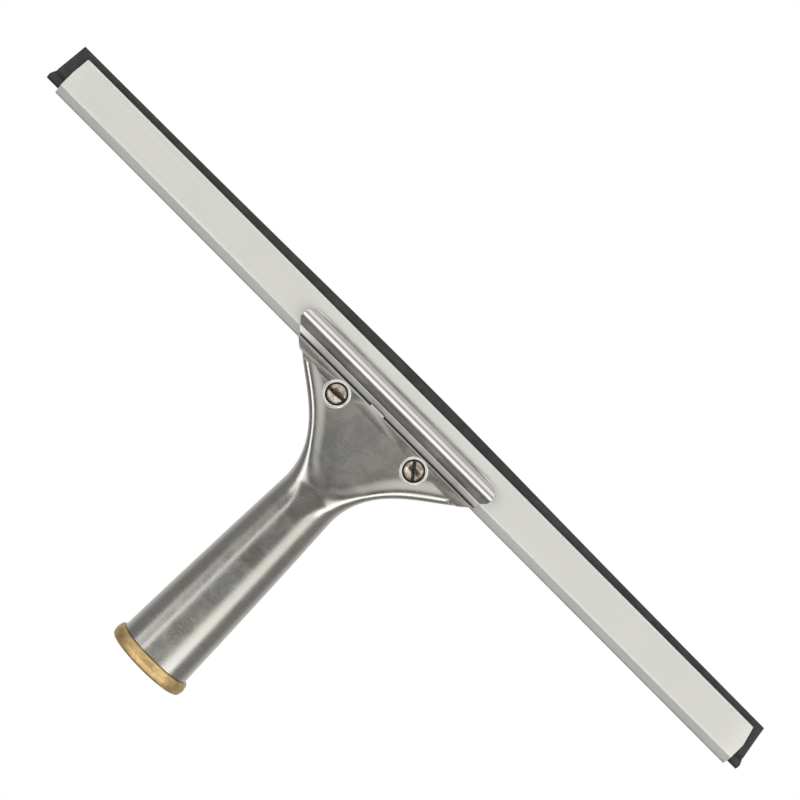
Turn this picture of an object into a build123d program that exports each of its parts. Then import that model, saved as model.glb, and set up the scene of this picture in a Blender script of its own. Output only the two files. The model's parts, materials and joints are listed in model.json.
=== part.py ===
from build123d import *
import math
import os

# Window cleaning squeegee, in millimetres.
#
# The tool is drawn in its own flat frame: X along the blade, Y from the handle towards the rubber's edge,
# Z out of the front of the head, with the mid-plane of the clamp and the axis of the handle tube at Z = 0
# and the middle of the channel at X = 0. At the end every piece is laid on its back, as on a table.

# ---- channel, a folded sheet with open hems at its mouth ----
channel_length = 350.0
channel_depth = 17.4  # from mouth to heel
channel_height = 6.6
channel_sheet = 0.7
mouth_y = 7.4  # the mouth's edge, ahead of the clamp's datum
hem_gap = 0.6  # air inside each folded hem
hem_length = 11.3
heel_slope = 33.0  # degrees, of the sloped band beside the heel
heel_band = 3.8  # how far the sloped band reaches back
heel_bend = 1.1
crease_bend = 1.5
left_mouth_setback = 0.7  # the mouth's corners are cut back from the heel's
right_mouth_setback = 2.0

# ---- rubber blade ----
blade_thickness = 2.2
bead_radius = 2.0
neck_thickness = 1.2
neck_length = 1.0
edge_reach_ends = 2.5  # how far the edge stands out of the mouth
edge_reach_middle = 3.8
left_overhang = 5.3  # past each end of the channel, at the neck
right_overhang = 3.9
left_edge_slant = 1.3  # how much shorter the wiping edge is than the neck
right_edge_slant = 2.4
bead_overhang = 0.8
bead_gap = 0.07

# ---- jaws, pressed sheet ----
jaw_width = 98.0
jaw_sheet = 1.2
seat_gap = 0.05  # between a jaw and the channel
jaw_travel = 1.2  # how far the upper jaw lifts when the screws are slack
lip_y = 2.6  # the lip's edge
lip_toe = 0.85  # flat strip of the lip that bears on the channel
crest_rise = 3.35  # how far the hump stands above the flange
crest_front_y = -0.1
crest_rear_y = -3.1
flange_front_y = -6.2
flange_rear_y = -19.0
lip_corner = 5.0
wall_corner = 1.8  # the hump's ends are cut back by this at the flange
wall_corner_start = 0.8  # how far behind the crest that cut begins
jaw_bends = (1.0, 2.2, 1.6, 1.1)
flange_inset = 3.4  # from the head's outline in to the flanges, inside the head
pocket_gap = 0.3  # around the flanges

# ---- head of the handle ----
shell_wall = 1.2
handle_offset = -2.4  # the handle sits left of the channel's middle
panel_edge_y = -9.1
panel_rise = 0.11  # rise of the front panel for each millimetre towards the tube
panel_half_width = 45.1
lip_half_width = 41.3  # where the flat front lip ends
lip_depth = 3.4
lip_step = 0.6  # between the lip and the front of the beads
bead_start_y = -13.0
bead_start_half = 40.0
bead_height = 1.1  # how far the edge beads stand above the panel
neck_y = -50.0
neck_radius = 12.0
flare_handles = (20.0, 14.0, 50.0)  # reach at the neck, reach at the head, and angle at the head
panel_inset = 5.6  # from the head's outline to the panel's flat floor, across the head
panel_side_end_y = -42.0  # where the floor's sides turn in to its tip
panel_tip_y = -46.0
recess_depth = 4.0
back_flat_end_y = -22.0
back_round_y = -80.0  # behind here the tube is round all the way
head_power = 6.0  # how square the head is across, where 2 is round
head_fade = 1.3  # how fast that fades towards the neck
tab_width = 6.5
tab_reach = 0.8
tab_x = -5.0

# ---- screws and nuts ----
screw_spacing = 40.0
screw_y = -14.8
screw_radius = 2.5
thread_pitch = 0.8
head_radius = 3.8
head_height = 3.0
head_dome = 0.8
slot_width = 1.3
slot_depth = 1.3
left_slot_angle = 4.0
right_slot_angle = -52.0
head_seat_gap = 0.02
head_hole_gap = 0.5  # around a screw's head
rim_width = 0.85
rim_height = 0.45
rim_round = 0.36
jaw_hole_gap = 0.3
thread_gap = 0.06
nut_shank_radius = 3.5
nut_collar_radius = 5.2
nut_collar_height = 1.3
nut_fit = 0.05
screw_tip_gap = 0.2  # the screw stops short of the nut's outer face

# ---- tube and ferrule ----
tube_end_y = -130.0
tube_end_radius = 15.2
seam_width = 0.4
seam_depth = 0.5
seam_inset = 12.0  # how far the seam runs on into the flattened back
ferrule_gap = 0.2
ferrule_collar = 5.4
ferrule_radius = 17.1
ferrule_shoulder_radius = 15.9
socket_radius = 11.2
socket_chamfer = 0.8
sleeve_length = 20.0
sleeve_fit = 0.03

# ---- worked out from the sizes above ----
half_height = channel_height / 2
heel_y = mouth_y - channel_depth
flange_bottom = half_height + seat_gap
flange_top = flange_bottom + jaw_sheet
lift_gap = 0.1
panel_bottom = flange_top + jaw_travel + lift_gap
panel_top = panel_bottom + shell_wall
back_inner = flange_top + seat_gap
back_outer = back_inner + shell_wall
nut_face = back_outer + nut_fit + nut_collar_height
screw_places = (handle_offset - screw_spacing / 2, handle_offset + screw_spacing / 2)
taper = (tube_end_radius - neck_radius) / (neck_y - tube_end_y)
big = 400.0
overcut = 1.0  # how far a cut runs past what it cuts
overlap = 1.0  # how far a form runs into the one it is joined to
head_stations = 8
back_stations = 3
side_stations = 6
section_points = 24
halvings = 40


def tube_radius(y):
    return neck_radius + taper * (neck_y - y)


def ease(t):
    t = min(max(t, 0.0), 1.0)
    return t * t * (3 - 2 * t)


def panel_height(y):
    """Top of the front panel."""
    return panel_top + panel_rise * (panel_edge_y - y)


def flare_width(y):
    """Half-width of the head's outline, one cubic from the neck to the front of the beads."""
    angle = math.radians(flare_handles[2])
    corners_x = (
        neck_radius,
        neck_radius,
        bead_start_half - flare_handles[1] * math.sin(angle),
        bead_start_half,
    )
    corners_y = (
        neck_y,
        neck_y + flare_handles[0],
        bead_start_y - flare_handles[1] * math.cos(angle),
        bead_start_y,
    )

    def at(corners, t):
        a, b, c, d = corners
        return a * (1 - t) ** 3 + 3 * b * t * (1 - t) ** 2 + 3 * c * t * t * (1 - t) + d * t**3

    low, high = 0.0, 1.0
    for _ in range(halvings):
        middle = (low + high) / 2
        if at(corners_y, middle) < y:
            low = middle
        else:
            high = middle
    return at(corners_x, low)


def section(y, half_width, top, bottom, power):
    """A closed face across the handle at y, from a circle (power 2) to a box with round corners."""
    points = []
    for i in range(section_points):
        angle = 2 * math.pi * i / section_points
        cos, sin = math.cos(angle), math.sin(angle)
        x = half_width * math.copysign(abs(cos) ** (2 / power), cos)
        z = (top if sin > 0 else bottom) * math.copysign(abs(sin) ** (2 / power), sin)
        points.append((x, y, z))
    return Face(Wire([Spline(*points, periodic=True)]))


def handle_form(wall):
    """The handle's outer form, or its hollow when drawn in by wall, ruled between sections."""
    faces = []
    head = [bead_start_y + (neck_y - bead_start_y) * i / head_stations for i in range(head_stations + 1)]
    back = [neck_y + (back_round_y - neck_y) * i / back_stations for i in range(1, back_stations + 1)]
    head[0] += overcut * bool(wall)
    for y in (*head, *back, tube_end_y - overcut * bool(wall)):
        blend = ease((bead_start_y - y) / (bead_start_y - neck_y))
        round_back = ease((back_flat_end_y - y) / (back_flat_end_y - back_round_y))
        radius = tube_radius(y)
        bottom = back_outer + (radius - back_outer) * round_back
        if y < neck_y:
            half = top = radius
        else:
            half = flare_width(min(y, bead_start_y))
            top = min(panel_height(y) + bead_height, radius)
        if wall:
            top = min(panel_height(y), radius) if y > neck_y else radius
        power = 2 + (head_power - 2) * (1 - blend) ** head_fade
        faces.append(section(y, half - wall, top - wall, bottom - wall, power))
    return loft(faces, ruled=True)


def path_strip(path, thickness):
    """Face of a bent sheet across X, whose middle line is path in (Y, Z)."""
    return Plane.YZ * trace(path, thickness)


def across(face, width):
    return extrude(face, width / 2, both=True)


def upright(outline):
    """A prism through everything, with the given outline in plan."""
    return extrude(outline, big, both=True)


def plan(points):
    """Face in plan from its points for X > 0, mirrored about X = 0."""
    mirrored = [(-x, y) for x, y in reversed(points)]
    return make_face(Polyline(*points, *mirrored, close=True))


def hole(x, radius):
    return Pos(x, screw_y, 0) * Cylinder(radius, big)


def make_channel():
    middle = half_height - channel_sheet / 2
    hem_middle = (hem_gap + channel_sheet) / 2
    bend_y = mouth_y - channel_sheet / 2 - hem_middle
    hem_z = middle - 2 * hem_middle
    hem_end = mouth_y - hem_length
    crease_y = heel_y + heel_band
    heel_middle = heel_y + channel_sheet / 2
    heel_z = middle - (crease_y - heel_middle) * math.tan(math.radians(heel_slope))
    body = FilletPolyline(
        (bend_y, middle),
        (crease_y, middle),
        (heel_middle, heel_z),
        (heel_middle, -heel_z),
        (crease_y, -middle),
        (bend_y, -middle),
        radius=(crease_bend, heel_bend, heel_bend, crease_bend),
    )
    strips = [path_strip(body, channel_sheet)]
    for side in (1, -1):
        bend = ThreePointArc(
            (bend_y, side * middle),
            (bend_y + hem_middle, side * (middle - hem_middle)),
            (bend_y, side * hem_z),
        )
        hem = bend + Line((bend_y, side * hem_z), (hem_end, side * hem_z))
        strips.append(path_strip(hem, channel_sheet))
    solid = across(strips[0] + strips[1] + strips[2], channel_length)
    left = -channel_length / 2
    right = channel_length / 2
    ends = Polyline(
        (left, heel_y - overcut),
        (left, 0),
        (left + left_mouth_setback, mouth_y + overcut),
        (right - right_mouth_setback, mouth_y + overcut),
        (right, 0),
        (right, heel_y - overcut),
        close=True,
    )
    return solid & upright(make_face(ends))


def bead_centre():
    """The bead lies bead_gap off both sloped walls of the heel, or off the wall behind them in a deep heel."""
    slope = math.radians(heel_slope)
    inner_z = half_height - channel_sheet
    inner_y = heel_y + heel_band + channel_sheet / 2 * math.tan(slope / 2)
    clear = bead_radius + bead_gap
    between_slopes = inner_y + (clear - inner_z * math.cos(slope)) / math.sin(slope)
    return max(between_slopes, heel_y + channel_sheet + clear)


def make_rubber():
    bead_y = bead_centre()
    blade_start = bead_y + bead_radius + neck_length
    reach = mouth_y + edge_reach_middle
    blade = Pos((blade_start + reach) / 2, 0) * Rectangle(reach - blade_start, blade_thickness)
    neck = Pos((bead_y + blade_start) / 2, 0) * Rectangle(blade_start - bead_y, neck_thickness)
    bead = Pos(bead_y, 0) * Circle(bead_radius)
    solid = across(Plane.YZ * (bead + neck + blade), 2 * channel_length)
    left = -channel_length / 2 - left_overhang
    right = channel_length / 2 + right_overhang
    end_y = mouth_y + edge_reach_ends
    bead_front = bead_y + bead_radius + neck_length / 2
    bead_rear = bead_y - bead_radius - overcut
    edge = ThreePointArc((left + left_edge_slant, end_y), (0, reach), (right - right_edge_slant, end_y))
    sides = Polyline(
        (right - right_edge_slant, end_y),
        (right, bead_front),
        (right + bead_overhang, bead_y),
        (right + bead_overhang, bead_rear),
        (left - bead_overhang, bead_rear),
        (left - bead_overhang, bead_y),
        (left, bead_front),
        (left + left_edge_slant, end_y),
    )
    return solid & upright(make_face(edge + sides))


def flange_side(gap):
    """Plan points of a flange's side inside the head, or of its pocket at gap around it."""
    stations = (bead_start_y + lip_step, (bead_start_y + flange_rear_y) / 2, flange_rear_y - gap)
    return [(flare_width(min(y, bead_start_y)) - flange_inset + gap, y) for y in stations]


def make_pocket():
    """Room for both flanges between the front and the back of the head."""
    outline = plan([(flange_side(pocket_gap)[0][0], 0), *flange_side(pocket_gap)])
    return Pos(handle_offset, 0, -back_inner) * extrude(outline, back_inner + panel_bottom)


def make_jaw():
    """The upper jaw, without its holes, over the handle's middle."""
    middle = flange_bottom + jaw_sheet / 2
    crest = middle + crest_rise
    path = FilletPolyline(
        (lip_y, middle),
        (lip_y - lip_toe, middle),
        (crest_front_y, crest),
        (crest_rear_y, crest),
        (flange_front_y, middle),
        (flange_rear_y, middle),
        radius=jaw_bends,
    )
    solid = across(path_strip(path, jaw_sheet), jaw_width)
    half = jaw_width / 2
    outline = plan(
        [
            (half, lip_y),
            (half, crest_rear_y - wall_corner_start),
            (half - wall_corner, flange_front_y),
            (panel_half_width, panel_edge_y),
            *flange_side(0),
        ]
    )
    corners = outline.vertices().group_by(Axis.Y)[-1]
    return Pos(handle_offset, 0) * (solid & upright(fillet(corners, lip_corner)))


def make_upper_jaw():
    jaw = make_jaw()
    for x in screw_places:
        jaw -= hole(x, screw_radius + jaw_hole_gap)
    return jaw


def make_lower_jaw():
    jaw = mirror(make_jaw(), Plane.XY)
    for x in screw_places:
        jaw -= hole(x, nut_shank_radius + nut_fit)
    return jaw


def panel_plane():
    """The top of the front panel, with its origin at the middle of the panel's edge."""
    angle = math.atan(panel_rise)
    return Plane(
        origin=(handle_offset, panel_edge_y, panel_top),
        x_dir=(1, 0, 0),
        z_dir=(0, math.sin(angle), math.cos(angle)),
    )


def lip_outline():
    """The flat front lip of the head, ahead of the beads."""
    beads = bead_start_y - panel_edge_y
    return plan(
        [
            (panel_half_width, 0),
            (lip_half_width, -lip_depth),
            (bead_start_half - 2 * shell_wall, beads),
            (bead_start_half - 3 * shell_wall, beads - overlap),
        ]
    )


def recess_outline(grow):
    """The front panel's floor in plan, or the recess's outline at grow above the floor."""
    step = (panel_side_end_y - bead_start_y) / (side_stations - 1)
    stations = [bead_start_y + i * step for i in range(side_stations)]
    side = [(flare_width(y) - panel_inset + grow, y - panel_edge_y) for y in stations]
    tip = (0, panel_tip_y - panel_edge_y - grow)
    mirrored = [(-x, y) for x, y in reversed(side)]
    curve = Spline(*side, tip, *mirrored)
    front = Polyline(mirrored[-1], (mirrored[-1][0], overcut), (side[0][0], overcut), side[0])
    return make_face(curve + front)


def panel_recess():
    """What is pressed out of the flare above the front panel's floor, with sloping sides."""
    face = panel_plane()
    return loft([face * recess_outline(0), face * Pos(0, 0, recess_depth) * recess_outline(recess_depth)])


def make_front_lip():
    """The flat front lip with its locating tab and the raised rims of the two screw holes."""
    lip = extrude(lip_outline(), -shell_wall)
    tab = Box(tab_width, tab_reach + overlap, shell_wall)
    lip += Pos(tab_x, (tab_reach - overlap) / 2, -shell_wall / 2) * tab
    radius = head_radius + head_hole_gap
    depth = math.hypot(1, panel_rise) * (screw_y - panel_edge_y)
    for x in screw_places:
        rim = Cylinder(radius + rim_width, rim_height + shell_wall / 2)
        rim = fillet(rim.edges().group_by(Axis.Z)[-1], rim_round)
        lip += Pos(x - handle_offset, depth, (rim_height - shell_wall / 2) / 2) * rim
    return panel_plane() * lip


def make_seam():
    """The groove where the sheet's edges meet along the back of the tube."""
    start = back_round_y + seam_inset
    end = tube_end_y - overcut
    groove = Polyline(
        (start, -tube_radius(start) + seam_depth),
        (end, -tube_radius(end) + seam_depth),
        (end, -2 * tube_end_radius),
        (start, -2 * tube_end_radius),
        close=True,
    )
    return Pos(handle_offset, 0) * across(Plane.YZ * make_face(groove), seam_width)


def make_handle():
    form = Pos(handle_offset, 0) * (handle_form(0) - handle_form(shell_wall))
    back = Pos(handle_offset, panel_edge_y, -back_outer) * extrude(lip_outline(), shell_wall)
    shell = form - panel_recess() + [make_front_lip(), back]
    cuts = [make_seam(), make_pocket()]
    for x in screw_places:
        cuts.append(Pos(x, screw_y, big / 2) * Cylinder(head_radius + head_hole_gap, big))
        cuts.append(Pos(x, screw_y, -big / 2) * Cylinder(nut_shank_radius + nut_fit, big))
    return shell - cuts


def make_ferrule():
    face_y = tube_end_y - ferrule_gap
    out_y = face_y - ferrule_collar
    sleeve_y = tube_end_y + sleeve_length
    fit = shell_wall + sleeve_fit
    inside = Polyline(
        (ferrule_shoulder_radius, out_y),
        (socket_radius + socket_chamfer, out_y),
        (socket_radius, out_y + socket_chamfer),
        (socket_radius, sleeve_y),
        (tube_radius(sleeve_y) - fit, sleeve_y),
        (tube_radius(face_y) - fit, face_y),
        (ferrule_shoulder_radius, face_y),
    )
    collar = ThreePointArc(
        (ferrule_shoulder_radius, face_y),
        (ferrule_radius, (face_y + out_y) / 2),
        (ferrule_shoulder_radius, out_y),
    )
    return Pos(handle_offset, 0) * revolve(make_face(inside + collar), Axis.Y)


def make_screw(x, slot_angle):
    seat = flange_top + head_seat_gap
    top = seat + head_height
    tip = -(nut_face - screw_tip_gap)
    dome = ThreePointArc(
        (-head_radius, top - head_dome), (0, top), (head_radius, top - head_dome)
    ).trim(0.5, 1)
    side = Polyline(
        (head_radius, top - head_dome),
        (head_radius, seat),
        (screw_radius, seat),
        (screw_radius, tip + thread_pitch / 2),
        (screw_radius - thread_pitch / 2, tip),
        (0, tip),
        (0, top),
    )
    screw = revolve(Plane.XZ * make_face(dome + side), Axis.Z)
    slot = Pos(0, 0, top) * Box(3 * head_radius, slot_width, 2 * slot_depth)
    return Pos(x, screw_y) * (screw - Rot(0, 0, slot_angle) * slot)


def make_nuts():
    nuts = []
    for x in screw_places:
        shank = Cylinder(nut_shank_radius, nut_face - flange_bottom)
        shank = Pos(0, 0, -(flange_bottom + nut_face) / 2) * shank
        collar_z = nut_collar_height / 2 - nut_face
        collar = Pos(0, 0, collar_z) * Cylinder(nut_collar_radius, nut_collar_height)
        collar = chamfer(collar.edges().group_by(Axis.Z)[0], nut_collar_height / 4)
        nuts.append(Pos(x, screw_y) * (shank + collar - Cylinder(screw_radius + thread_gap, big)))
    return nuts[0] + nuts[1]


def rest_tilt():
    """Angle that brings the lower jaw's crest and the ferrule's collar onto one level, each a round edge."""
    bend = jaw_bends[1] + jaw_sheet / 2
    turn = math.atan2(crest_rise, lip_y - lip_toe - crest_front_y)
    jaw_y = crest_front_y - jaw_bends[1] * math.tan(turn / 2)
    jaw_z = bend - (flange_top + crest_rise)
    half = ferrule_collar / 2
    bulge = ferrule_radius - ferrule_shoulder_radius
    collar_bend = (half * half + bulge * bulge) / (2 * bulge)
    collar_y = tube_end_y - ferrule_gap - half
    collar_z = collar_bend - ferrule_radius
    run = jaw_y - collar_y
    rise = jaw_z - collar_z
    return math.atan2(rise, run) + math.asin((collar_bend - bend) / math.hypot(run, rise))


pieces = {
    "handle_shell": make_handle(),
    "lower_jaw": make_lower_jaw(),
    "upper_jaw": make_upper_jaw(),
    "tee_nuts": make_nuts(),
    "left_screw": make_screw(screw_places[0], left_slot_angle),
    "right_screw": make_screw(screw_places[1], right_slot_angle),
    "channel": make_channel(),
    "rubber_blade": make_rubber(),
    "pole_ferrule": make_ferrule(),
}

tilt = rest_tilt()
laid = {name: Rot(-math.degrees(tilt), 0, 0) * piece for name, piece in pieces.items()}
boxes = [piece.bounding_box() for piece in laid.values()]
low = [min(getattr(box.min, axis) for box in boxes) for axis in "XYZ"]
high = [max(getattr(box.max, axis) for box in boxes) for axis in "XYZ"]
origin = ((low[0] + high[0]) / 2, (low[1] + high[1]) / 2, low[2])
os.makedirs("parts", exist_ok=True)
for name, piece in laid.items():
    export_step(Pos(-origin[0], -origin[1], -origin[2]) * piece, f"parts/{name}.step")
print("tilt in degrees", round(math.degrees(tilt), 4))
print("origin in the tool's flat frame", [round(value, 4) for value in origin])
print("size", [round(b - a, 3) for a, b in zip(low, high)])
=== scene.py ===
import json
import math
import bmesh
import bpy
import numpy as np
from mathutils import Matrix, Vector


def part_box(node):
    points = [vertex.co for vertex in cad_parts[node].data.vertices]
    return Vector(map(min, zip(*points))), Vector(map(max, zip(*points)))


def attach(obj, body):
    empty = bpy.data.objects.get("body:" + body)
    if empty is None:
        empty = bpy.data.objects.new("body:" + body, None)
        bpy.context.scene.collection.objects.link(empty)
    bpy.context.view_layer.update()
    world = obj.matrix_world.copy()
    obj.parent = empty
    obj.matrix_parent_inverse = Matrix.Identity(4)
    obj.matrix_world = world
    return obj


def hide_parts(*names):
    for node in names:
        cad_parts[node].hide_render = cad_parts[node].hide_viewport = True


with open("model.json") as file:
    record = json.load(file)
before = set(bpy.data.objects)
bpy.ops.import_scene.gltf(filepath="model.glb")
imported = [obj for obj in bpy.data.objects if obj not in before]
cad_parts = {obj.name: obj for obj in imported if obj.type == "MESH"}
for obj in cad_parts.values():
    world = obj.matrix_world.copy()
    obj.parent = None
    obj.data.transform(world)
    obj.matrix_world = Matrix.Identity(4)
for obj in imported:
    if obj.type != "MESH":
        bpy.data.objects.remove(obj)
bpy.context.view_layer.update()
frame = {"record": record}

scene = bpy.context.scene

# The tool's own frame, in millimetres: X along the blade, Y towards the rubber, Z out of the head's front.
# Its origin is the middle of the channel, level with the middle of the jaws.
joints = {joint["name"]: joint for joint in frame["record"]["behaviour"]["joints"]}
screwY = -14.8
screwSide = 20.0  # from the handle's middle to each screw
frontHole, nutHole, screwHole = 4.3, 3.55, 2.8  # hole radii: head's front, head's back and lower jaw, upper jaw
zWay = Vector(joints["jaw_lift"]["axis"]).normalized()
xWay = Vector(joints["channel_slide"]["axis"]).normalized()
yWay = zWay.cross(xWay)
screwMiddle = (Vector(joints["left_screw_turn"]["pos_m"]) + Vector(joints["right_screw_turn"]["pos_m"])) / 2
channelMiddle = (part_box("channel")[0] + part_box("channel")[1]) / 2
handleX = (screwMiddle.x - channelMiddle.x) * 1000
toolTurn = Matrix((xWay, yWay, zWay)).transposed().to_4x4()
toolOrigin = screwMiddle - yWay * screwY / 1000 - xWay * handleX / 1000
toRow = Matrix.Translation(toolOrigin) @ toolTurn @ Matrix.Scale(0.001, 4)


# ---- meshes ----

def addObject(name, points, faces):
    mesh = bpy.data.meshes.new(name)
    mesh.from_pydata([tuple(map(float, point)) for point in points], [], faces)
    build = bmesh.new()
    build.from_mesh(mesh)
    bmesh.ops.remove_doubles(build, verts=build.verts, dist=1e-4)
    bmesh.ops.recalc_face_normals(build, faces=build.faces)
    build.to_mesh(mesh)
    build.free()
    piece = bpy.data.objects.new(name, mesh)
    scene.collection.objects.link(piece)
    return piece


def applyModifiers(piece):
    bpy.context.view_layer.update()
    evaluated = piece.evaluated_get(bpy.context.evaluated_depsgraph_get())
    old = piece.data
    piece.data = bpy.data.meshes.new_from_object(evaluated)
    piece.modifiers.clear()
    bpy.data.meshes.remove(old)


def bevel(piece, width, segments=2, angle=50):
    modifier = piece.modifiers.new("bevel", "BEVEL")
    modifier.width = width
    modifier.segments = segments
    modifier.limit_method = "ANGLE"
    modifier.angle_limit = math.radians(angle)
    applyModifiers(piece)


def cut(piece, cutter):
    modifier = piece.modifiers.new("cut", "BOOLEAN")
    modifier.operation = "DIFFERENCE"
    modifier.solver = "EXACT"
    modifier.object = cutter
    applyModifiers(piece)
    old = cutter.data
    bpy.data.objects.remove(cutter)
    bpy.data.meshes.remove(old)


def finishPiece(piece, material, body, nodes, sharp=32, flatArea=1e6):
    mesh = piece.data
    smooth = [face.area < flatArea for face in mesh.polygons]
    mesh.transform(toRow)
    mesh.materials.clear()
    mesh.materials.append(material)
    mesh.polygons.foreach_set("material_index", [0] * len(mesh.polygons))
    mesh.polygons.foreach_set("use_smooth", smooth)
    mesh.set_sharp_from_angle(angle=math.radians(sharp))
    mesh.update()
    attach(piece, body)
    if nodes:
        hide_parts(*nodes)
    print("made", piece.name, len(mesh.polygons), "faces", smooth.count(False), "flat")


def rings(rows, closedRows=False):
    rows = np.asarray(rows, float)
    count, around = rows.shape[:2]
    faces = []
    for i in range(count if closedRows else count - 1):
        for j in range(around):
            k = (j + 1) % around
            n = (i + 1) % count
            faces.append((i * around + j, i * around + k, n * around + k, n * around + j))
    return rows.reshape(-1, 3), faces


def lathe(profile, segments):
    profile = np.asarray(profile, float)
    angles = np.linspace(0, 2 * math.pi, segments, endpoint=False)
    rows = [[(r * math.cos(a), r * math.sin(a), z) for a in angles] for r, z in profile]
    return rings(rows, closedRows=True)


def roundCorners(corners, radii, spacing=0.4, closed=False):
    corners = [np.asarray(corner, float) for corner in corners]
    count = len(corners)
    points = []
    for i, corner in enumerate(corners):
        if not closed and i in (0, count - 1):
            points.append(corner)
            continue
        back = corners[i - 1] - corner
        ahead = corners[(i + 1) % count] - corner
        back /= np.linalg.norm(back)
        ahead /= np.linalg.norm(ahead)
        turn = math.pi - math.acos(float(np.clip(back @ ahead, -1, 1)))
        radius = radii[i]
        if radius < 1e-6 or turn < 1e-4:
            points.append(corner)
            continue
        reach = radius * math.tan(turn / 2)
        middle = corner + (back + ahead) / np.linalg.norm(back + ahead) * radius / math.cos(turn / 2)
        first = corner + back * reach - middle
        last = corner + ahead * reach - middle
        steps = max(3, int(math.degrees(turn) / 8))
        for step in range(steps + 1):
            share = step / steps
            point = first * math.sin((1 - share) * turn) + last * math.sin(share * turn)
            points.append(middle + point / math.sin(turn))
    dense = [points[0]]
    for point in points[1:] + ([points[0]] if closed else []):
        gap = np.linalg.norm(point - dense[-1])
        if gap < 1e-6:
            continue
        parts = max(1, math.ceil(gap / spacing))
        start = dense[-1]
        dense += [start + (point - start) * (part + 1) / parts for part in range(parts)]
    return np.array(dense[:-1] if closed else dense)


def sheetOutline(path, thickness):
    ahead = np.gradient(path, axis=0)
    ahead /= np.linalg.norm(ahead, axis=1)[:, None]
    side = np.stack([-ahead[:, 1], ahead[:, 0]], axis=1) * thickness / 2
    return path + side, path - side


def sheetPiece(name, path, thickness, leftEnd, rightEnd, columns):
    upper, lower = sheetOutline(path, thickness)
    outline = np.concatenate([upper, lower[::-1]])
    rows = []
    for share in np.linspace(0, 1, columns):
        rows.append([(leftEnd(y) * (1 - share) + rightEnd(y) * share, y, z) for y, z in outline])
    points, faces = rings(rows)
    around = len(outline)
    half = len(upper)
    for base in (0, (columns - 1) * around):
        for j in range(half - 1):
            faces.append((base + j, base + j + 1, base + around - 2 - j, base + around - 1 - j))
    return addObject(name, points, faces)


def prism(name, outline, low, high):
    count = len(outline)
    points = [(x, y, low) for x, y in outline] + [(x, y, high) for x, y in outline]
    faces = [tuple(range(count)), tuple(range(2 * count - 1, count - 1, -1))]
    faces += [(i, (i + 1) % count, count + (i + 1) % count, count + i) for i in range(count)]
    return addObject(name, points, faces)


def rods(name, spots, radius, low, high):
    points = []
    faces = []
    for x, y in spots:
        base = len(points)
        for z in (low, high):
            points += [(x + radius * math.cos(a), y + radius * math.sin(a), z)
                       for a in np.linspace(0, 2 * math.pi, 96, endpoint=False)]
        faces += [(base + i, base + (i + 1) % 96, base + 96 + (i + 1) % 96, base + 96 + i) for i in range(96)]
        faces += [tuple(range(base, base + 96)), tuple(range(base + 191, base + 95, -1))]
    return addObject(name, points, faces)


# ---- shader graphs ----

def addNode(tree, kind, settings=None, inputs=None, output=0):
    node = tree.nodes.new(kind)
    for name, value in (settings or {}).items():
        setattr(node, name, value)
    for name, value in (inputs or {}).items():
        if isinstance(value, Wire):
            tree.links.new(value.socket, node.inputs[name])
        else:
            node.inputs[name].default_value = value
    return Wire(node.outputs[output])


class Wire:
    def __init__(self, socket):
        self.socket = socket

    def node(self, kind, settings=None, inputs=None, output=0):
        return addNode(self.socket.id_data, kind, settings, inputs, output)

    def maths(self, operation, first, second=0.0):
        return self.node("ShaderNodeMath", {"operation": operation}, {0: first, 1: second})

    def __add__(self, other):
        return self.maths("ADD", self, other)

    def __radd__(self, other):
        return self.maths("ADD", other, self)

    def __sub__(self, other):
        return self.maths("SUBTRACT", self, other)

    def __rsub__(self, other):
        return self.maths("SUBTRACT", other, self)

    def __mul__(self, other):
        return self.maths("MULTIPLY", self, other)

    def __abs__(self):
        return self.maths("ABSOLUTE", self)

    def ramp(self, low, high, first=0.0, last=1.0):
        values = {"Value": self, "From Min": low, "From Max": high, "To Min": first, "To Max": last}
        return self.node("ShaderNodeMapRange", {"interpolation_type": "SMOOTHSTEP"}, values)

    def blend(self, first, last):
        first, last = [(*tone, 1) if isinstance(tone, tuple) else tone for tone in (first, last)]
        return self.node("ShaderNodeMix", {"data_type": "RGBA"}, {0: self, 6: first, 7: last}, 2)

    def stretched(self, scale, turn=0.0):
        values = {"Vector": self, "Rotation": (0, 0, math.radians(turn)), "Scale": scale}
        return self.node("ShaderNodeMapping", None, values)

    def noise(self, scale, detail=2.0, rough=0.5, twist=0.0):
        values = {"Vector": self, "Scale": scale, "Detail": detail, "Roughness": rough, "Distortion": twist}
        return self.node("ShaderNodeTexNoise", None, values)

    def parts(self):
        node = self.node("ShaderNodeSeparateXYZ", None, {0: self}).socket.node
        return [Wire(socket) for socket in node.outputs]


def newMaterial(name, metallic):
    material = bpy.data.materials.new(name)
    material.use_nodes = True
    tree = material.node_tree
    shader = tree.nodes["Principled BSDF"]
    shader.inputs["Metallic"].default_value = metallic
    place = addNode(tree, "ShaderNodeTexCoord", None, None, 3)
    spot, turn, size = toRow.inverted().decompose()
    values = {"Vector": place, "Location": spot, "Rotation": turn.to_euler(), "Scale": size}
    return material, shader, place.node("ShaderNodeMapping", None, values)


def setLooks(shader, colour, roughness, height, depth):
    tree = shader.id_data
    tree.links.new(colour.socket, shader.inputs["Base Color"])
    tree.links.new(roughness.socket, shader.inputs["Roughness"])
    bump = height.node("ShaderNodeBump", None, {"Strength": 1.0, "Distance": depth / 1000, "Height": height})
    tree.links.new(bump.socket, shader.inputs["Normal"])


def scratches(place, values):
    scale = (values["along"], values["across"], values["along"])
    lines = place.stretched(scale, values["turn"]).noise(1.0, 2, 0.6)
    more = place.stretched(scale, values["turn"] + 67).noise(1.0, 2, 0.6)
    return lines.ramp(0.60, 0.72) + more.ramp(0.62, 0.74)


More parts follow.
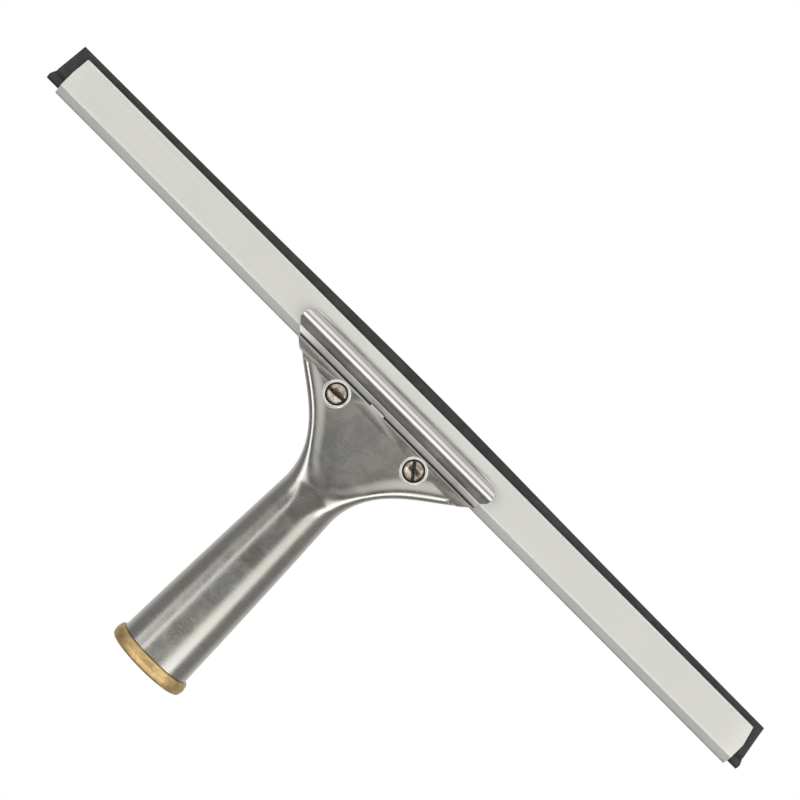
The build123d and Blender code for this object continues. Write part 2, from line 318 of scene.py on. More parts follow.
def handleSteel():
    values = {
        "cool": (0.475, 0.47, 0.455), "warm": (0.50, 0.475, 0.43), "grain": (0.36, 0.36, 0.36),
        "roughness": 0.23, "roughnessChange": 0.06, "relief": 0.006,
        "scratches": {"along": 0.25, "across": 5.0, "turn": 24},
    }
    material, shader, place = newMaterial("tumbled_steel", 1.0)
    cloud = place.noise(0.11, 3, 0.6, 0.5)
    tint = place.noise(0.06, 2, 0.5)
    grain = place.noise(3.2, 3, 0.6)
    lines = scratches(place, values["scratches"])
    streak = place.stretched((2.2, 0.05, 2.2)).noise(1.0, 3, 0.65)
    colour = tint.ramp(0.38, 0.62).blend(values["cool"], values["warm"])
    colour = (grain.ramp(0.3, 0.75) * 0.35).blend(colour, values["grain"])
    roughness = values["roughness"] + cloud.ramp(0.3, 0.7) * values["roughnessChange"] + lines * 0.05
    height = grain * 0.9 + lines * -0.5 + streak * 0.4 + cloud * 0.7
    setLooks(shader, colour, roughness, height, values["relief"])
    return material


def jawSteel():
    values = {"pale": (0.62, 0.61, 0.595), "dull": (0.54, 0.535, 0.52), "paintedShade": (0.115, 0.108, 0.098),
              "roughness": 0.27, "relief": 0.004, "gapShadeStart": -7.7, "gapShadeEnd": -8.6}
    material, shader, place = newMaterial("rolled_steel", 1.0)
    cloud = place.noise(0.12, 3, 0.6, 0.6)
    streak = place.stretched((0.04, 3.0, 3.0)).noise(1.0, 4, 0.6)
    grain = place.noise(4.0, 2, 0.6)
    colour = (streak.ramp(0.3, 0.75) * 0.7).blend(values["pale"], values["dull"])
    # painted shadow: the jaw's colour is darkened from y -7.7 mm rearwards, where it runs under the head's front panel
    # edge, in place of the shadow the panel casts there
    gapShade = place.parts()[1].ramp(values["gapShadeStart"], values["gapShadeEnd"])
    colour = gapShade.blend(colour, values["paintedShade"])
    roughness = values["roughness"] + cloud.ramp(0.3, 0.7) * 0.06 + streak.ramp(0.4, 0.7) * 0.04
    setLooks(shader, colour, roughness, streak * 0.8 + grain * 0.3 + cloud * 3.0, values["relief"])
    return material


def channelSteel():
    values = {"pale": (0.655, 0.655, 0.625), "dull": (0.635, 0.635, 0.605), "roughness": 0.53, "relief": 0.0015}
    material, shader, place = newMaterial("satin_steel", 1.0)
    streak = place.stretched((0.012, 1.6, 1.6)).noise(1.0, 4, 0.6)
    cloud = place.noise(0.05, 2, 0.5)
    grain = place.stretched((0.6, 6.0, 6.0)).noise(1.0, 2, 0.5)
    colour = streak.ramp(0.35, 0.7).blend(values["pale"], values["dull"])
    roughness = values["roughness"] + streak.ramp(0.3, 0.7) * 0.06 + cloud.ramp(0.35, 0.65) * 0.03
    setLooks(shader, colour, roughness, streak + grain * 0.5, values["relief"])
    return material


def wornNickel():
    values = {"bright": (0.42, 0.37, 0.32), "worn": (0.20, 0.17, 0.14), "roughness": 0.11, "relief": 0.008}
    material, shader, place = newMaterial("worn_nickel", 1.0)
    cloud = place.noise(0.6, 4, 0.65, 0.8)
    grain = place.noise(5.0, 3, 0.6)
    lines = place.stretched((0.6, 9.0, 0.6), 35).noise(1.0, 2, 0.6)
    colour = cloud.ramp(0.38, 0.62).blend(values["bright"], values["worn"])
    roughness = values["roughness"] + cloud.ramp(0.35, 0.7) * 0.12 + lines.ramp(0.5, 0.7) * 0.08
    setLooks(shader, colour, roughness, grain * 0.5 + lines * 0.4, values["relief"])
    return material


# painted shade: a dark material for the screw slots' floor and walls, in place of the shade inside the slot
def paintedSlotShade():
    values = {"dark": (0.035, 0.028, 0.022), "pale": (0.12, 0.10, 0.08), "roughness": 0.5, "relief": 0.01}
    material, shader, place = newMaterial("painted_slot_shade", 0.6)
    cloud = place.noise(1.4, 4, 0.65)
    grain = place.noise(6.0, 3, 0.6)
    roughness = values["roughness"] + grain.ramp(0.3, 0.7) * 0.2
    setLooks(shader, cloud.ramp(0.4, 0.7).blend(values["dark"], values["pale"]), roughness, grain, values["relief"])
    return material


def wornEdge():
    values = {"pale": (0.74, 0.73, 0.70), "dull": (0.56, 0.54, 0.51), "roughness": 0.32, "relief": 0.006}
    material, shader, place = newMaterial("worn_edge", 1.0)
    cloud = place.noise(0.9, 3, 0.6)
    grain = place.noise(5.0, 3, 0.6)
    colour = cloud.ramp(0.45, 0.75).blend(values["pale"], values["dull"])
    roughness = values["roughness"] + grain.ramp(0.35, 0.7) * 0.12
    setLooks(shader, colour, roughness, grain + cloud, values["relief"])
    return material


def blackRubber():
    values = {"dark": (0.010, 0.010, 0.011), "pale": (0.026, 0.026, 0.028), "roughness": 0.52, "relief": 0.012}
    material, shader, place = newMaterial("black_rubber", 0.0)
    cloud = place.noise(0.15, 4, 0.6)
    grain = place.noise(4.5, 3, 0.6)
    # painted shade: the rubber's colour darkens towards its tip edge (y 9.2 to 11 mm), in place of the dark line where
    # the edge turns away from the light
    edge = place.parts()[1].ramp(9.2, 11.0)
    colour = (cloud.ramp(0.35, 0.7) * (1.0 - edge * 0.6)).blend(values["dark"], values["pale"])
    roughness = values["roughness"] + grain.ramp(0.35, 0.7) * 0.14
    setLooks(shader, colour, roughness, grain + cloud, values["relief"])
    return material


def satinBrass():
    values = {"bright": (0.62, 0.45, 0.215), "dull": (0.43, 0.31, 0.15), "roughness": 0.40, "relief": 0.02}
    material, shader, place = newMaterial("satin_brass", 1.0)
    cloud = place.noise(0.35, 4, 0.65, 0.5)
    grain = place.noise(3.0, 3, 0.6)
    turned = place.stretched((0.15, 7.0, 0.15)).noise(1.0, 3, 0.6)
    colour = cloud.ramp(0.36, 0.68).blend(values["bright"], values["dull"])
    roughness = values["roughness"] + grain.ramp(0.35, 0.7) * 0.14 + turned.ramp(0.4, 0.7) * 0.06
    setLooks(shader, colour, roughness, grain * 0.5 + turned * 0.35, values["relief"])
    return material


steel = handleSteel()
rolled = jawSteel()
satin = channelSteel()
nickel = wornNickel()
worn = wornEdge()
paintedShade = paintedSlotShade()
rubber = blackRubber()
brass = satinBrass()
print("materials made")


# ---- handle ----

handleValues = {
    "wall": 1.2,
    "panelEdge": -9.1, "panelTop": 7.05, "panelRise": 0.125, "panelBow": 0.0002, "beadHeight": 1.1,
    "headFront": -13.0, "headHalf": 40.0, "neck": -50.0, "neckRadius": 12.0,
    "flareTurn": 50, "headPull": 14, "neckPull": 20,
    "tubeEnd": -130.0, "tubeEndRadius": 15.2, "tubeBulge": 0.2, "tubeLean": 0.007,
    "backDepth": 5.8, "backFlatEnd": -22.0, "backRound": -80.0,
    "squareness": 4.5, "squareFade": 1.2, "squareEnd": -54.0, "squareLength": 26.0, "beadEnd": -47.0, "beadFade": 9.0,
    "creaseWidth": 4.2, "creaseSoftness": 2.0, "crestInset": 1.2,
    "leftCrest": ((-11.0, 43.0), (-13.9, 38.1), (-19.6, 28.3), (-25.0, 21.8), (-31.5, 16.4), (-38.6, 11.0),
                  (-44.5, 5.0), (-49.0, 3.0)),
    "rightCrest": ((-11.0, 40.6), (-12.5, 37.6), (-16.3, 30.6), (-21.8, 23.2), (-27.8, 17.9), (-34.2, 13.9),
                   (-40.7, 9.6), (-45.6, 4.4), (-49.5, 2.8)),
    "crestTip": -54.0,
    "grooveStart": -92.0, "grooveDepth": 0.5, "grooveHalf": 0.2,
}


def ease(t):
    t = np.clip(t, 0.0, 1.0)
    return t * t * (3 - 2 * t)


def tubeRadius(y):
    v = handleValues
    share = (v["neck"] - y) / (v["neck"] - v["tubeEnd"])
    return v["neckRadius"] + (v["tubeEndRadius"] - v["neckRadius"]) * share + 4 * v["tubeBulge"] * share * (1 - share)


def flareWidth(y):
    v = handleValues
    angle = math.radians(v["flareTurn"])
    pull = v["headPull"]
    t = np.linspace(0, 1, 400)
    xs = np.array((v["neckRadius"], v["neckRadius"], v["headHalf"] - pull * math.sin(angle), v["headHalf"]))
    ys = np.array((v["neck"], v["neck"] + v["neckPull"], v["headFront"] - pull * math.cos(angle), v["headFront"]))
    weights = np.stack([(1 - t) ** 3, 3 * t * (1 - t) ** 2, 3 * t * t * (1 - t), t ** 3], axis=1)
    return float(np.interp(y, weights @ ys, weights @ xs))


def panelHeight(y):
    behind = handleValues["panelEdge"] - y
    return handleValues["panelTop"] + handleValues["panelRise"] * behind - handleValues["panelBow"] * behind ** 2


def lean(points):
    points = np.array(points, float)
    points[:, 0] += handleValues["tubeLean"] * np.maximum(handleValues["neck"] - points[:, 1], 0)
    return points


def crestLine():
    v = handleValues
    knots = [(-x, y) for y, x in v["leftCrest"]] + [(0, v["crestTip"])] + [(x, y) for y, x in v["rightCrest"][::-1]]
    knots = np.array(knots, float)
    padded = np.concatenate([[2 * knots[0] - knots[1]], knots, [2 * knots[-1] - knots[-2]]])
    points = []
    for i in range(1, len(padded) - 2):
        a, b, c, d = padded[i - 1:i + 3]
        for t in np.linspace(0, 1, 8, endpoint=False):
            points.append(0.5 * (2 * b + (c - a) * t + (2 * a - 5 * b + 4 * c - d) * t * t
                                 + (3 * b - a - 3 * c + d) * t ** 3))
    return np.array(points + [knots[-1]])


def insideCrest(x, y, line):
    spots = np.stack([x, y], axis=1)
    starts, ends = line[:-1], line[1:]
    span = ends - starts
    offset = spots[:, None, :] - starts[None]
    share = np.clip((offset * span).sum(2) / (span * span).sum(1), 0, 1)
    away = np.linalg.norm(offset - share[..., None] * span, axis=2).min(1)
    loop = np.concatenate([line, [[line[-1][0], 20], [line[0][0], 20]]])
    x1, y1 = loop.T
    x2, y2 = np.roll(loop, -1, axis=0).T
    crosses = (y1 > y[:, None]) != (y2 > y[:, None])
    with np.errstate(divide="ignore", invalid="ignore"):
        at = (x2 - x1) * (y[:, None] - y1) / (y2 - y1) + x1
    inside = (crosses & (x[:, None] < at)).sum(1) % 2 == 1
    return np.where(inside, away, -away)


def sectionRing(y, wall, around):
    v = handleValues
    back = ease((v["backFlatEnd"] - y) / (v["backFlatEnd"] - v["backRound"]))
    radius = tubeRadius(y)
    depth = v["backDepth"] + (radius - v["backDepth"]) * back
    half = radius if y < v["neck"] else flareWidth(y)
    top = radius if y < v["neck"] else min(panelHeight(y) + (0 if wall else v["beadHeight"]), radius)
    squarer = 2 if wall else 1  # leaves room for the lifted jaw's corners
    power = 2 + v["squareness"] * ease((y - v["squareEnd"]) / v["squareLength"]) ** v["squareFade"] * squarer
    angle = np.linspace(-math.pi / 2, 3 * math.pi / 2, 1441)
    cos, sin = np.cos(angle), np.sin(angle)
    x = (half - wall) * np.sign(cos) * np.abs(cos) ** (2 / power)
    z = np.where(sin > 0, top - wall, depth - wall) * np.sign(sin) * np.abs(sin) ** (2 / power)
    length = np.concatenate([[0], np.cumsum(np.hypot(np.diff(x), np.diff(z)))])
    g = v["grooveHalf"]
    near = np.array([-g - 0.02, -g + 0.01, g - 0.01, g + 0.02])
    at = np.concatenate([near, np.linspace(0.5, length[-1] - 0.5, around)]) % length[-1]
    return np.stack([np.interp(at, length, x), np.full(len(at), y), np.interp(at, length, z)], axis=1)


def makeHandle():
    v = handleValues
    around = 300
    head = np.linspace(v["headFront"], v["neck"] - 6, 80)
    tube = np.linspace(v["neck"] - 6, v["tubeEnd"], 44)[1:]
    outer = np.array([sectionRing(y, 0.0, around) for y in (*head, *tube)])
    flat = outer.reshape(-1, 3)
    top = np.nonzero((flat[:, 2] > 0) & (flat[:, 1] > v["neck"] - 14))[0]
    x, y, z = flat[top].T
    inward = insideCrest(x, y, crestLine()) - v["crestInset"]
    width = v["creaseWidth"]
    share = 1 - np.minimum(inward, width) / width
    fade = ease((y - v["beadEnd"]) / v["beadFade"])
    cap = panelHeight(y) + v["beadHeight"] * fade * np.where(share > 1, 2 * share - 1, share ** 2)
    soft = v["creaseSoftness"] * np.clip((y - v["neck"] + 10) / 14, 0.02, 1)
    mix = np.clip(0.5 + 0.5 * (cap - z) / soft, 0, 1)
    lost = np.maximum(soft - v["beadHeight"], 0) ** 2 / (4 * soft) * np.clip(inward / width, 0, 1) * fade
    flat[top, 2] = cap + (z - cap) * mix - soft * mix * (1 - mix) + lost
    outer = flat.reshape(outer.shape)
    for row in outer:
        if row[0, 1] < v["grooveStart"]:
            row[1:3, 2] += v["grooveDepth"]
    inner = np.array([sectionRing(y, v["wall"], around) for y in (*tube[::-7], *head[::-5])])
    inner[0] = sectionRing(v["tubeEnd"], v["wall"], around)
    inner[-1] = sectionRing(v["headFront"], v["wall"], around)
    points, faces = rings(np.concatenate([outer, inner]), closedRows=True)
    piece = addObject("handle_body", lean(points), faces)
    spots = ((-screwSide, screwY), (screwSide, screwY))
    cut(piece, rods("hole_cutter", spots, frontHole, 0, 40))
    cut(piece, rods("hole_cutter", spots, nutHole, -40, 0))
    piece.data.transform(Matrix.Translation((handleX, 0, 0)))
    finishPiece(piece, steel, "handle", ["handle_shell"], 40)


lipValues = {
    "right": ((37.6, -5.0), (37.6, -4.2), (40.2, -3.8), (44.5, 0)),
    "left": ((-45.7, 0), (-41.6, -3.4), (-37.8, -3.9), (-37.8, -5.0)),
    "tab": ((-1.75, 0), (-1.75, 0.8), (-8.25, 0.8), (-8.25, 0)),
    "front": (-1.12, -0.012), "frontRound": 0.07, "back": (-5.788, -4.6), "backRound": 0.1,
    "rim": ((4.3, -1.3), (4.3, 0.5), (5.1, 0.5), (5.2, 0.0), (5.7, -0.03), (5.7, -1.3)),
    "rimBends": (0, 0.36, 0.38, 0.2, 0.0, 0),
}


def makeLips():
    v = lipValues
    edge = handleValues["panelEdge"]
    slope = math.atan(handleValues["panelRise"] - 5 * handleValues["panelBow"])
    tilt = Matrix.Translation((handleX, edge, handleValues["panelTop"])) @ Matrix.Rotation(-slope, 4, "X")
    spots = ((handleX - screwSide, screwY), (handleX + screwSide, screwY))
    front = prism("head_lip", v["right"] + v["tab"] + v["left"], *v["front"])
    front.data.transform(tilt)
    cut(front, rods("hole_cutter", spots, frontHole, 0, 40))
    bevel(front, v["frontRound"], 2)
    finishPiece(front, steel, "handle", [], 32, 3)
    back = prism("head_back", v["right"] + v["left"], *v["back"])
    bevel(back, v["backRound"], 2)
    back.data.transform(Matrix.Translation((handleX, edge, 0)))
    cut(back, rods("hole_cutter", spots, nutHole, -40, 0))
    finishPiece(back, steel, "handle", [], 32, 20)
    profile = roundCorners(v["rim"], v["rimBends"], 0.12, True)
    for name, x in (("left_rim", -screwSide), ("right_rim", screwSide)):
        rim = addObject(name, *lathe(profile, 96))
        reach = (screwY - edge) / math.cos(slope)
        rim.data.transform(tilt @ Matrix.Translation((x, reach, 0)))
        finishPiece(rim, worn, "handle", [], 60)


# ---- jaws ----

jawValues = {
    "half": 48.7, "sheet": 1.2, "middle": 3.95, "crestRise": 3.35, "flangeDip": 0.12,
    "lipEdge": 2.6, "lipToe": 1.5, "crestFront": -0.1, "crestRear": -2.3,
    "flangeFront": -5.9, "flangeRear": -19.0, "bends": (0, 0.7, 1.5, 2.9, 0.8, 2.0, 0), "shift": -0.95,
    "lipCorner": 5.0, "wallCorner": 1.8, "wallCornerStart": -3.9, "flangeInset": 3.4, "edgeRound": 0.1,
    "edgeHalf": 45.1, "flangeGap": 0.6,
}


def jawHalf(y):
    v = jawValues
    cornerY = v["lipEdge"] - v["lipCorner"]
    if y > cornerY:
        drop = min(y - cornerY, v["lipCorner"])
        return v["half"] - v["lipCorner"] + math.sqrt(v["lipCorner"] ** 2 - drop * drop)
    front = handleValues["headFront"] + v["flangeGap"]
    ys = (v["flangeRear"], (v["flangeRear"] + front) / 2, front, handleValues["panelEdge"], v["flangeFront"],
          v["wallCornerStart"])
    xs = [flareWidth(min(each, handleValues["headFront"])) - v["flangeInset"] for each in ys[:3]]
    return float(np.interp(y, ys, (*xs, v["edgeHalf"], v["half"] - v["wallCorner"], v["half"])))


def makeJaw(name, body, node, holeRadius, side):
    v = jawValues
    corners = [
        (v["lipEdge"], v["middle"]),
        (v["lipEdge"] - v["lipToe"], v["middle"]),
        (v["crestFront"], v["middle"] + v["crestRise"]),
        (v["crestRear"], v["middle"] + v["crestRise"]),
        (v["flangeFront"], v["middle"] + v["flangeDip"]),
        (handleValues["panelEdge"], v["middle"]),
        (v["flangeRear"], v["middle"]),
    ]
    path = roundCorners(corners, v["bends"], 0.35)

    def shift(y):
        return v["shift"] * ease((y - handleValues["panelEdge"]) / 3)

    piece = sheetPiece(
        name, path, v["sheet"], lambda y: shift(y) - jawHalf(y), lambda y: shift(y) + jawHalf(y), 9)
    cut(piece, rods("hole_cutter", ((-screwSide, screwY), (screwSide, screwY)), holeRadius, 0, 10))
    bevel(piece, v["edgeRound"], 3)
    if side < 0:
        piece.data.transform(Matrix.Scale(-1, 4, (0, 0, 1)))
        piece.data.flip_normals()
    piece.data.transform(Matrix.Translation((handleX, 0, 0)))
    finishPiece(piece, rolled, body, [node])


# ---- channel and rubber ----

channelValues = {
    "half": 175.0, "sheet": 0.7, "middle": 2.95, "hemHeight": 1.65, "mouth": 7.4, "hemEnd": -3.9,
    "crease": -6.2, "heel": -9.65, "heelHeight": 0.71, "leftSetback": 0.7, "rightSetback": 2.0,
    "creaseBend": 1.5, "heelBend": 1.1, "edgeRound": 0.1,
}
rubberValues = {
    "bead": -6.3, "beadRadius": 2.0, "neckHalf": 0.6, "bladeStart": -3.3, "bladeHalf": 1.1,
    "reachEnds": 9.5, "bow": 1.85, "bowHalf": 89.0, "left": -180.3, "right": 178.9, "beadExtra": 0.8,
    "leftSlant": 1.3, "rightSlant": 2.4, "edgeRound": 0.12,
}


def makeChannel():
    v = channelValues
    front = v["mouth"] - v["sheet"] / 2
    bend = (v["middle"] - v["hemHeight"]) / 2
    half = [(v["hemEnd"], v["hemHeight"]), (front, v["hemHeight"]), (front, v["middle"]), (v["crease"], v["middle"]),
            (v["heel"], v["heelHeight"])]
    corners = half + [(y, -z) for y, z in half[::-1]]
    radii = [0, bend, bend, v["creaseBend"], v["heelBend"]]
    path = roundCorners(corners, radii + radii[::-1], 0.5)
    piece = sheetPiece(
        "folded_channel", path, v["sheet"],
        lambda y: -v["half"] + v["leftSetback"] * max(y, 0) / v["mouth"],
        lambda y: v["half"] - v["rightSetback"] * max(y, 0) / v["mouth"], 41)
    bevel(piece, v["edgeRound"], 2)
    finishPiece(piece, satin, "channel", ["channel"])


def makeRubber():
    v = rubberValues
    angles = np.linspace(math.radians(20), math.radians(340), 33)
    bead = [(v["bead"] + v["beadRadius"] * math.cos(a), v["beadRadius"] * math.sin(a)) for a in angles]
    blade = roundCorners(
        [(bead[-1][0] + 0.1, -v["neckHalf"]), (v["bladeStart"], -v["neckHalf"]), (v["bladeStart"], -v["bladeHalf"]),
         (1.0, -v["bladeHalf"]), (1.0, v["bladeHalf"]), (v["bladeStart"], v["bladeHalf"]),
         (v["bladeStart"], v["neckHalf"]), (bead[0][0] + 0.1, v["neckHalf"])],
        [0, 0, 0, v["edgeRound"] / 8, v["edgeRound"] / 8, 0, 0, 0], 0.3)
    outline = [(y, z, 0) for y, z in bead]
    for y, z in blade:
        share = min(max((y - v["bladeStart"]) / (1.0 - v["bladeStart"]), 0), 1)
        outline.append((y, z, share))
    rows = []
    neckY = v["bead"] + v["beadRadius"] + 0.5
    for t in np.linspace(-1, 1, 121):
        reach = v["reachEnds"] + v["bow"] / (1 + (t * v["right"] / v["bowHalf"]) ** 2)
        row = []
        for y, z, share in outline:
            if share > 0:
                y = v["bladeStart"] + (reach - v["bladeStart"]) * share
            slant = min(max((y - neckY) / (v["reachEnds"] - neckY), 0), 1)
            extra = v["beadExtra"] * min(max((neckY - y) / (neckY - v["bead"]), 0), 1)
            low = v["left"] + v["leftSlant"] * slant - extra
            high = v["right"] - v["rightSlant"] * slant + extra
            row.append((low + (high - low) * (t + 1) / 2, y, z))
        rows.append(row)
    points, faces = rings(rows)
    around = len(outline)
    faces += [tuple(range(around)), tuple(range(len(points) - 1, len(points) - 1 - around, -1))]
    piece = addObject("rubber_strip", points, faces)
    bevel(piece, v["edgeRound"], 2, 60)
    finishPiece(piece, rubber, "rubber", ["rubber_blade"], 40)


# ---- screws, nuts and ferrule ----

screwValues = {
    "headRadius": 3.8, "seat": 4.57, "headTop": 7.57, "dome": 0.9, "rootRadius": 2.12, "threadRadius": 2.5,
    "pitch": 0.8, "tip": -6.95, "threadTop": 3.6, "slotWidth": 1.3, "slotDepth": 1.3,
    "leftTurn": 4, "rightTurn": -52,
}


def threadTree():
    tree = bpy.data.node_groups.new("screw_thread", "GeometryNodeTree")
    tree.interface.new_socket("Geometry", in_out="INPUT", socket_type="NodeSocketGeometry")
    for name in ("Turns", "Radius", "Depth", "Height", "Start"):
        tree.interface.new_socket(name, in_out="INPUT", socket_type="NodeSocketFloat")
    tree.interface.new_socket("Material", in_out="INPUT", socket_type="NodeSocketMaterial")
    tree.interface.new_socket("Geometry", in_out="OUTPUT", socket_type="NodeSocketGeometry")
    given = tree.nodes.new("NodeGroupInput").outputs
    spiral = tree.nodes.new("GeometryNodeCurveSpiral")
    spiral.inputs["Resolution"].default_value = 48
    ridge = tree.nodes.new("GeometryNodeCurvePrimitiveCircle")
    ridge.inputs["Resolution"].default_value = 3
    sweep = tree.nodes.new("GeometryNodeCurveToMesh")
    sweep.inputs["Fill Caps"].default_value = True
    place = tree.nodes.new("GeometryNodeTransform")
    offset = tree.nodes.new("ShaderNodeCombineXYZ")
    join = tree.nodes.new("GeometryNodeJoinGeometry")
    real = tree.nodes.new("GeometryNodeRealizeInstances")
    paint = tree.nodes.new("GeometryNodeSetMaterial")
    out = tree.nodes.new("NodeGroupOutput").inputs
    for start, end in (
        (given["Turns"], spiral.inputs["Rotations"]),
        (given["Radius"], spiral.inputs["Start Radius"]),
        (given["Radius"], spiral.inputs["End Radius"]),
        (given["Height"], spiral.inputs["Height"]),
        (given["Depth"], ridge.inputs["Radius"]),
        (spiral.outputs[0], sweep.inputs["Curve"]),
        (ridge.outputs[0], sweep.inputs["Profile Curve"]),
        (sweep.outputs[0], place.inputs["Geometry"]),
        (given["Start"], offset.inputs["Z"]),
        (offset.outputs[0], place.inputs["Translation"]),
        (place.outputs[0], join.inputs[0]),
        (given["Geometry"], join.inputs[0]),
        (join.outputs[0], real.inputs[0]),
        (real.outputs[0], paint.inputs["Geometry"]),
        (given["Material"], paint.inputs["Material"]),
        (paint.outputs[0], out[0]),
    ):
        tree.links.new(start, end)
    return tree


thread = threadTree()


def makeScrew(name, body, node, x, slotTurn):
    v = screwValues
    domeRadius = (v["headRadius"] ** 2 + v["dome"] ** 2) / (2 * v["dome"])
    shoulder = v["headTop"] - v["dome"]
    dome = [(r, v["headTop"] - domeRadius + math.sqrt(domeRadius ** 2 - r * r))
            for r in np.linspace(0.01, v["headRadius"] - 0.15, 14)]
    side = [(v["headRadius"], shoulder - 0.2), (v["headRadius"], v["seat"] + 0.25), (v["headRadius"] - 0.25, v["seat"]),
            (v["rootRadius"], v["seat"]), (v["rootRadius"], v["tip"] + 0.5), (v["rootRadius"] - 0.5, v["tip"]),
            (0.01, v["tip"])]
    piece = addObject(name, *lathe(dome + side, 96))
    half = v["slotWidth"] / 2
    turn = math.radians(slotTurn)
    floor = v["headTop"] - v["slotDepth"]
    slot = prism("slot_cutter", [(-6, -half), (6, -half), (6, half), (-6, half)], floor, 12)
    slot.data.transform(Matrix.Rotation(turn, 4, "Z"))
    cut(piece, slot)
    bevel(piece, 0.11, 2, 45)
    modifier = piece.modifiers.new("thread", "NODES")
    modifier.node_group = thread
    height = v["threadTop"] - v["tip"] - 0.6
    depth = (v["threadRadius"] - v["rootRadius"]) / 1.5
    settings = {"Turns": height / v["pitch"], "Radius": v["threadRadius"] - depth, "Depth": depth,
                "Height": height, "Start": v["tip"] + 0.4, "Material": nickel}
    for socket in thread.interface.items_tree:
        if socket.in_out == "INPUT" and socket.name in settings:
            modifier[socket.identifier] = settings[socket.name]
    applyModifiers(piece)
    inSlot = []
    for i, face in enumerate(piece.data.polygons):
        away = abs(face.center.y * math.cos(turn) - face.center.x * math.sin(turn))
        if away < half + 0.03 and floor - 0.1 < face.center.z < v["headTop"] - 0.2:
            inSlot.append(i)
    piece.data.transform(Matrix.Translation((x, screwY, 0)))
    finishPiece(piece, nickel, body, [node])
    # the slot's floor and walls get the dark painted-shade material
    piece.data.materials.append(paintedShade)
    for i in inSlot:
        piece.data.polygons[i].material_index = 1


nutValues = {"bore": 2.56, "barrel": 3.5, "flange": 5.2, "top": -3.35, "step": -5.85, "bottom": -7.15,
             "bends": (0.1, 0.1, 0.05, 0.15, 0.4, 0.25)}


def makeNuts():
    v = nutValues
    corners = [(v["bore"], v["top"]), (v["barrel"], v["top"]), (v["barrel"], v["step"]), (v["flange"], v["step"]),
               (v["flange"], v["bottom"]), (v["bore"], v["bottom"])]
    profile = roundCorners(corners, v["bends"], 0.5, True)
    points, faces = lathe(profile, 96)
    count = len(points)
    both = np.concatenate([points + (side, screwY, 0) for side in (handleX - screwSide, handleX + screwSide)])
    piece = addObject("collar_nuts", both, faces + [tuple(i + count for i in face) for face in faces])
    finishPiece(piece, nickel, "handle", ["tee_nuts"], 50)


ferruleValues = {"bore": 11.2, "collar": 16.5, "belly": 17.15, "gap": 0.2, "length": 5.4, "sleeve": 20,
                 "sleeveInset": 1.23, "bends": (0.3, 0.9, 1.3, 3.6, 1.0, 0.1, 0.3)}


def makeFerrule():
    v = ferruleValues
    end = handleValues["tubeEnd"]
    front = end - v["gap"]
    rear = front - v["length"]
    sleeve = end + v["sleeve"]
    corners = [(v["bore"], sleeve), (v["bore"], rear), (v["collar"], rear), (v["belly"], (front + rear) / 2),
               (v["collar"], front), (tubeRadius(front) - v["sleeveInset"], front),
               (tubeRadius(sleeve) - v["sleeveInset"], sleeve)]
    profile = roundCorners(corners, v["bends"], 0.4, True)
    points, faces = lathe(profile, 160)
    piece = addObject("brass_ferrule", lean(points[:, (0, 2, 1)]) + (handleX, 0, 0), faces)
    finishPiece(piece, brass, "handle", ["pole_ferrule"], 50)


makeHandle()
makeLips()
makeJaw("pressed_upper_jaw", "upper_jaw", "upper_jaw", screwHole, 1)
makeJaw("pressed_lower_jaw", "handle", "lower_jaw", nutHole, -1)
makeChannel()
makeRubber()
makeScrew("slotted_screw_left", "left_screw", "left_screw", handleX - screwSide, screwValues["leftTurn"])
makeScrew("slotted_screw_right", "right_screw", "right_screw", handleX + screwSide, screwValues["rightTurn"])
makeNuts()
makeFerrule()


# ---- camera, floor and light ----

cameraValues = {"spot": (-4.4, 0.1, 840.0), "spin": 45.12, "view": 296.0}
lightValues = {
    "base": 0.12, "side": 0.30, "below": 0.5,
    # middle across and along the tool in degrees, half-sizes, softness, strength
    "boxes": (
        (53, 5, 17, 40, 16, 1.08),
        (-36, 5, 4.5, 40, 6, 1.5),
        (0, -30, 70, 18, 8, 1.9),
        (0, 60, 70, 42, 16, 1.12),
    ),
}


def makeCamera():
    v = cameraValues
    spin = math.radians(v["spin"])
    right = xWay * math.cos(spin) + yWay * math.sin(spin)
    up = yWay * math.cos(spin) - xWay * math.sin(spin)
    data = bpy.data.cameras.new("camera")
    camera = bpy.data.objects.new("camera", data)
    scene.collection.objects.link(camera)
    turn = Matrix((right, up, zWay)).transposed().to_4x4()
    camera.matrix_world = Matrix.Translation(toRow @ Vector(v["spot"])) @ turn
    data.sensor_width = 36
    data.lens = 36 * v["spot"][2] / v["view"]
    data.clip_start = 0.01
    data.clip_end = 20
    scene.camera = camera


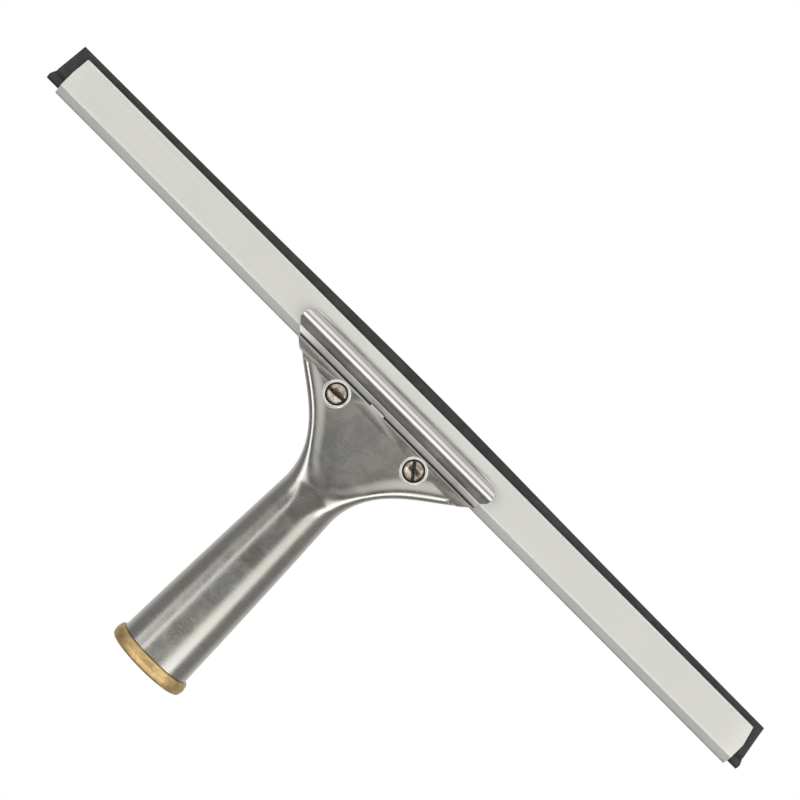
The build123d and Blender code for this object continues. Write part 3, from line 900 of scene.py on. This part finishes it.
def makeFloor():
    size, low = 6.0, -0.0006
    mesh = bpy.data.meshes.new("floor")
    mesh.from_pydata([(-size, -size, low), (size, -size, low), (size, size, low), (-size, size, low)],
                     [], [(0, 1, 2, 3)])
    floor = bpy.data.objects.new("floor", mesh)
    scene.collection.objects.link(floor)
    material = bpy.data.materials.new("white_floor")
    material.use_nodes = True
    tree = material.node_tree
    tree.nodes.clear()
    seen = addNode(tree, "ShaderNodeLightPath", None, None, 0)
    clear = addNode(tree, "ShaderNodeBsdfTransparent")
    white = addNode(tree, "ShaderNodeEmission", None, {"Color": (1, 1, 1, 1), "Strength": 1.0})
    mixed = addNode(tree, "ShaderNodeMixShader", None, {0: seen, 1: clear, 2: white})
    output = tree.nodes.new("ShaderNodeOutputMaterial")
    tree.links.new(mixed.socket, output.inputs["Surface"])
    mesh.materials.append(material)


def makeLight():
    v = lightValues
    world = bpy.data.worlds.new("studio")
    scene.world = world
    world.use_nodes = True
    tree = world.node_tree
    way = addNode(tree, "ShaderNodeTexCoord", None, None, 0)

    def along(axis):
        return way.node("ShaderNodeVectorMath", {"operation": "DOT_PRODUCT"}, {0: way, 1: axis}, 1)

    across, ahead, up = along(xWay), along(yWay), along(zWay)
    degrees = 180 / math.pi
    level = across.maths("SQRT", across * across + up * up)
    acrossAngle = across.maths("ARCTAN2", across, up) * degrees
    aheadAngle = across.maths("ARCTAN2", ahead, level) * degrees
    aheadOverAngle = across.maths("ARCTAN2", ahead, up) * degrees
    light = abs(acrossAngle).ramp(50, 100, v["base"], v["side"]) + up.ramp(-0.35, -0.9, 0.0, v["below"])
    for middleX, middleY, halfX, halfY, soft, strength in v["boxes"]:
        vertical, sideways = aheadAngle, acrossAngle
        if middleX == 0:  # a long box that runs across the tool
            vertical = aheadOverAngle
            sideways = across.maths("ARCTAN2", across, across.maths("SQRT", ahead * ahead + up * up)) * degrees
        inX = abs(sideways - middleX).ramp(halfX + soft / 2, halfX - soft / 2)
        inY = abs(vertical - middleY).ramp(halfY + soft / 2, halfY - soft / 2)
        light = light + inX * inY * strength
    background = tree.nodes["Background"]
    tree.links.new(light.socket, background.inputs["Strength"])
    background.inputs["Color"].default_value = (1.0, 0.995, 0.98, 1)


makeCamera()
makeFloor()
makeLight()
scene.view_settings.view_transform = "Standard"
